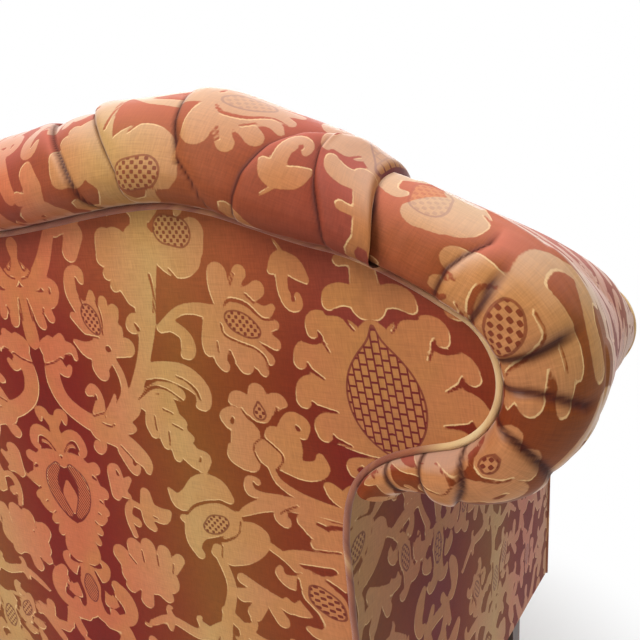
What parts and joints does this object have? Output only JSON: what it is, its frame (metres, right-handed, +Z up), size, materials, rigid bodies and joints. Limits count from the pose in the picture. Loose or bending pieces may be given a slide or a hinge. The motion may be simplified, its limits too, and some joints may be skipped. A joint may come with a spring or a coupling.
{
  "type": "camelback loveseat",
  "caption": "Upholstered loveseat with a camel-hump back, scroll arms with pleated rolls, welted edges and two loose seat cushions, in a woven floral damask.",
  "frame": {"origin": "on the floor, under the middle of the whole object", "axes": "+X across the seat, +Y to the back, +Z up; the sitter faces -Y"},
  "size_m": [1.644, 0.7325, 0.9346],
  "materials": {
    "damask": "woven damask",
    "welt_cloth": "woven damask, cut on the bias",
    "leg_wood": "stained and polished",
    "frame_wood": "sawn",
    "screw_steel": "zinc",
    "glide_nylon": "moulded",
    "webbing": "jute",
    "spring_steel": "oiled wire",
    "twine": "waxed",
    "burlap": "loose weave",
    "deck_pad": "cotton felt",
    "deck_cloth": "plain weave",
    "dust_cloth": "thin plain weave",
    "foam": "open-cell foam",
    "zip_tape": "woven tape",
    "zip_brass": "plain"
  },
  "bodies": {
    "root": {"rear_post_left": "leg_wood", "rear_post_right": "leg_wood", "crest_rail": "frame_wood", "scroll_block_left": "frame_wood", "scroll_block_right": "frame_wood", "back_centre_stile": "frame_wood", "back_tacking_rail": "frame_wood", "back_webbing": "webbing", "arm_post_left": "frame_wood", "arm_post_right": "frame_wood", "arm_board_left": "frame_wood", "arm_board_right": "frame_wood", "arm_tacking_rail_left": "frame_wood", "arm_tacking_rail_right": "frame_wood", "front_rail": "frame_wood", "rear_rail": "frame_wood", "side_rail_left": "frame_wood", "side_rail_right": "frame_wood", "corner_blocks": "frame_wood", "corner_block_screws": "screw_steel", "front_leg_left": "leg_wood", "front_leg_right": "leg_wood", "leg_glides": "glide_nylon", "seat_webbing": "webbing", "seat_springs": "spring_steel", "spring_twine": "twine", "seat_burlap": "burlap", "deck_pad": "deck_pad", "deck_cloth": "deck_cloth", "dust_cover": "dust_cloth", "front_border": "damask", "front_border_welt": "welt_cloth", "inside_back": "damask", "back_roll": "damask", "arm_end_roll_left": "damask", "arm_end_roll_right": "damask", "arm_left": "damask", "arm_right": "damask", "outside_arm_left": "damask", "outside_arm_right": "damask", "arm_facing_left": "damask", "arm_facing_right": "damask", "arm_facing_welts": "welt_cloth", "outside_back": "damask", "outside_back_welt": "welt_cloth"},
    "seat_cushion_left": {"cushion_left": "damask", "cushion_foam_left": "foam", "cushion_welts_left": "welt_cloth", "zip_tape_left": "zip_tape"},
    "slider_left": {"zip_slider_left": "zip_brass"},
    "pull_left": {"zip_pull_left": "zip_brass"},
    "seat_cushion_right": {"cushion_right": "damask", "cushion_foam_right": "foam", "cushion_welts_right": "welt_cloth", "zip_tape_right": "zip_tape"},
    "slider_right": {"zip_slider_right": "zip_brass"},
    "pull_right": {"zip_pull_right": "zip_brass"}
  },
  "joints": [
    {"name": "cushion_left_lift", "type": "slide", "parent": "root", "child": "seat_cushion_left", "axis": [0, 0, 1], "range_m": [0, 0.62]},
    {"name": "zip_left_slide", "type": "slide", "parent": "seat_cushion_left", "child": "slider_left", "axis": [-1, 0, 0], "range_m": [0, 0.39]},
    {"name": "pull_left_swing", "type": "hinge", "parent": "slider_left", "child": "pull_left", "pos_m": [-0.079, 0.13824, 0.4192], "axis": [1, 0, 0], "range_deg": [0, 15]},
    {"name": "cushion_right_lift", "type": "slide", "parent": "root", "child": "seat_cushion_right", "axis": [0, 0, 1], "range_m": [0, 0.62]},
    {"name": "zip_right_slide", "type": "slide", "parent": "seat_cushion_right", "child": "slider_right", "axis": [1, 0, 0], "range_m": [0, 0.39]},
    {"name": "pull_right_swing", "type": "hinge", "parent": "slider_right", "child": "pull_right", "pos_m": [0.079, 0.13824, 0.4192], "axis": [1, 0, 0], "range_deg": [0, 15]}
  ]
}
